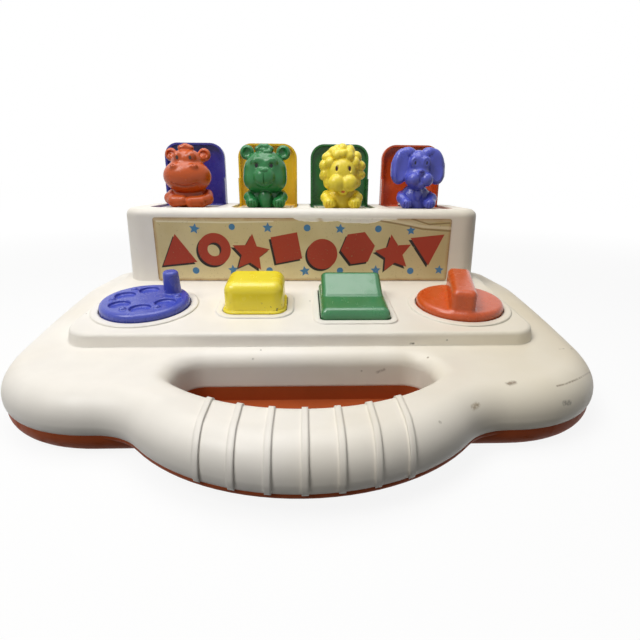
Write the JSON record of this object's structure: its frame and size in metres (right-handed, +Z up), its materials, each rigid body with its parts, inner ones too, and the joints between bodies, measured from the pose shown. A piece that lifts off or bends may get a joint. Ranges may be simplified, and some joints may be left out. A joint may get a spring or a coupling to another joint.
{
  "type": "pop up animal toy",
  "caption": "Table-top toy with a carry handle; a dial, a button, a rocker and a knob each release a sprung flap that pops up with an animal figure.",
  "frame": {"origin": "under the middle of the toy, on the surface it stands on", "axes": "+X to the right of someone using the toy, +Y away from them towards the flaps, +Z up"},
  "size_m": [0.2982, 0.2377, 0.1336],
  "materials": {
    "cream_shell": "satin moulded polypropylene, yellowed and scuffed",
    "red_base": "satin moulded plastic",
    "label_paper": "worn printed paper label",
    "sticker_paper": "printed paper sticker",
    "steel": "zinc-plated steel",
    "white_nylon": "natural nylon",
    "blue_flap": "glossy moulded plastic",
    "yellow_flap": "glossy moulded plastic",
    "green_flap": "glossy moulded plastic",
    "red_flap": "glossy moulded plastic",
    "red_figure": "glossy soft vinyl",
    "green_figure": "glossy soft vinyl",
    "yellow_figure": "glossy soft vinyl",
    "blue_figure": "glossy soft vinyl",
    "blue_control": "glossy moulded plastic",
    "red_control": "glossy moulded plastic",
    "yellow_control": "glossy moulded plastic",
    "green_control": "glossy moulded plastic"
  },
  "bodies": {
    "housing": {"upper_shell": "cream_shell", "base_tray": "red_base", "front_label": "label_paper", "case_screws": "steel", "catch_screws": "steel", "rocker_pin": "steel", "button_spring": "steel", "hinge_pin_1": "steel", "hinge_pin_2": "steel", "hinge_pin_3": "steel", "hinge_pin_4": "steel", "flap_spring_1": "steel", "flap_spring_2": "steel", "flap_spring_3": "steel", "flap_spring_4": "steel", "leaf_catch_1": "steel", "leaf_catch_2": "steel", "leaf_catch_3": "steel", "leaf_catch_4": "steel", "bar_spring_1": "steel", "bar_spring_2": "steel", "bar_spring_3": "steel", "bar_spring_4": "steel"},
    "flap_1": {"flap_1": "blue_flap", "floor_sticker_1": "sticker_paper", "hippo_figure": "red_figure", "figure_screw_1": "steel"},
    "flap_2": {"flap_2": "yellow_flap", "floor_sticker_2": "sticker_paper", "bear_figure": "green_figure", "figure_screw_2": "steel"},
    "flap_3": {"flap_3": "green_flap", "floor_sticker_3": "sticker_paper", "lion_figure": "yellow_figure", "figure_screw_3": "steel"},
    "flap_4": {"flap_4": "red_flap", "floor_sticker_4": "sticker_paper", "dog_figure": "blue_figure", "figure_screw_4": "steel"},
    "dial": {"dial": "blue_control", "dial_cam": "white_nylon", "dial_screw": "steel"},
    "button": {"push_button": "yellow_control"},
    "rocker": {"rocker": "green_control"},
    "knob": {"knob": "red_control", "knob_cam": "white_nylon", "knob_screw": "steel"},
    "push_bar_1": {"push_bar_1": "white_nylon"},
    "push_bar_2": {"push_bar_2": "white_nylon"},
    "push_bar_3": {"push_bar_3": "white_nylon"},
    "push_bar_4": {"push_bar_4": "white_nylon"}
  },
  "joints": [
    {"name": "flap_1_hinge", "type": "hinge", "parent": "housing", "child": "flap_1", "pos_m": [-0.07965, 0.10735, 0.0886], "axis": [1, 0, 0], "range_deg": [0, 90], "stiffness_Nm_per_rad": 0.012, "springref_deg": -68.75, "deforming": ["flap_spring_1", "leaf_catch_1"]},
    {"name": "flap_2_hinge", "type": "hinge", "parent": "housing", "child": "flap_2", "pos_m": [-0.02655, 0.10735, 0.0886], "axis": [1, 0, 0], "range_deg": [0, 90], "stiffness_Nm_per_rad": 0.012, "springref_deg": -68.75, "deforming": ["flap_spring_2", "leaf_catch_2"]},
    {"name": "flap_3_hinge", "type": "hinge", "parent": "housing", "child": "flap_3", "pos_m": [0.02655, 0.10735, 0.0886], "axis": [1, 0, 0], "range_deg": [0, 90], "stiffness_Nm_per_rad": 0.012, "springref_deg": -68.75, "deforming": ["flap_spring_3", "leaf_catch_3"]},
    {"name": "flap_4_hinge", "type": "hinge", "parent": "housing", "child": "flap_4", "pos_m": [0.07965, 0.10735, 0.0886], "axis": [1, 0, 0], "range_deg": [0, 90], "stiffness_Nm_per_rad": 0.012, "springref_deg": -68.75, "deforming": ["flap_spring_4", "leaf_catch_4"]},
    {"name": "dial_turn", "type": "hinge", "parent": "housing", "child": "dial", "pos_m": [-0.0907, 0.00662, 0.03885], "axis": [0, -0.1115, 0.9938], "range_deg": [0, 60], "stiffness_Nm_per_rad": 0.0017, "springref_deg": -60.16},
    {"name": "button_press", "type": "slide", "parent": "housing", "child": "button", "axis": [0, 0.1115, -0.9938], "range_m": [0, 0.004], "stiffness_N_per_m": 270, "springref_m": -0.004, "deforming": ["button_spring"]},
    {"name": "rocker_tilt", "type": "hinge", "parent": "housing", "child": "rocker", "pos_m": [0.0279, 0.00828, 0.033], "axis": [-1, 0, 0], "range_deg": [0, 13], "stiffness_Nm_per_rad": 0.0385, "springref_deg": -12.78},
    {"name": "knob_turn", "type": "hinge", "parent": "housing", "child": "knob", "pos_m": [0.0907, 0.00662, 0.03885], "axis": [0, 0.1115, -0.9938], "range_deg": [0, 60], "stiffness_Nm_per_rad": 0.0017, "springref_deg": -60.16},
    {"name": "push_bar_1_slide", "type": "slide", "parent": "housing", "child": "push_bar_1", "axis": [0, 0.9938, 0.1115], "range_m": [0, 0.00398], "deforming": ["bar_spring_1", "leaf_catch_1"]},
    {"name": "push_bar_2_slide", "type": "slide", "parent": "housing", "child": "push_bar_2", "axis": [0, 0.9938, 0.1115], "range_m": [0, 0.00401], "deforming": ["bar_spring_2", "leaf_catch_2"]},
    {"name": "push_bar_3_slide", "type": "slide", "parent": "housing", "child": "push_bar_3", "axis": [0, 0.9938, 0.1115], "range_m": [0, 0.00407], "deforming": ["bar_spring_3", "leaf_catch_3"]},
    {"name": "push_bar_4_slide", "type": "slide", "parent": "housing", "child": "push_bar_4", "axis": [0, 0.9938, 0.1115], "range_m": [0, 0.00398], "deforming": ["bar_spring_4", "leaf_catch_4"]}
  ],
  "couplings": [
    {"joint": "push_bar_1_slide", "follows": "dial_turn", "m_per_rad": 0.0038},
    {"joint": "push_bar_2_slide", "follows": "button_press", "ratio": 1},
    {"joint": "push_bar_3_slide", "follows": "rocker_tilt", "m_per_rad": 0.017919},
    {"joint": "push_bar_4_slide", "follows": "knob_turn", "m_per_rad": 0.0038}
  ]
}
